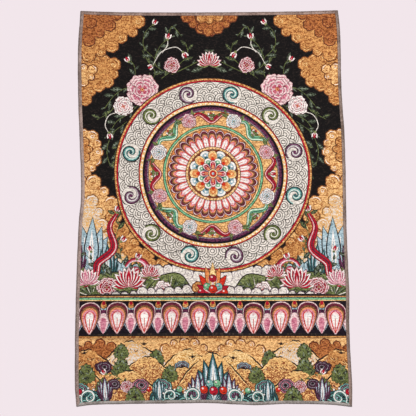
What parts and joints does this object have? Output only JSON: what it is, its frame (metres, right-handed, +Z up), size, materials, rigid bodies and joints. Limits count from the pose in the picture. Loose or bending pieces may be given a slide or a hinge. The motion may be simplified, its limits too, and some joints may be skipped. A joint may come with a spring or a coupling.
{
  "type": "thangka scroll painting",
  "caption": "Upright rectangular woven picture panel: a thin, slightly wavy cloth sheet with overlocked thread strips round its rim, held at its upper edge.",
  "frame": {"origin": "middle of the upper edge's outermost line, where the hanging is held", "axes": "+Z up along the height, +Y through the thickness to the back, so the picture faces -Y, and +X across the width to the right of someone who looks at the picture"},
  "size_m": [0.6116, 0.0125, 0.9054],
  "materials": {
    "woven_cloth": "figured weave of black, gold, orange, cream, crimson and green yarns, with a soft satin sheen",
    "overlock_thread": "close matt stitches of taupe grey sewing thread"
  },
  "bodies": {
    "root": {"cloth": "woven_cloth", "binding_top": "overlock_thread", "binding_right": "overlock_thread", "binding_bottom": "overlock_thread", "binding_left": "overlock_thread"}
  },
  "joints": []
}
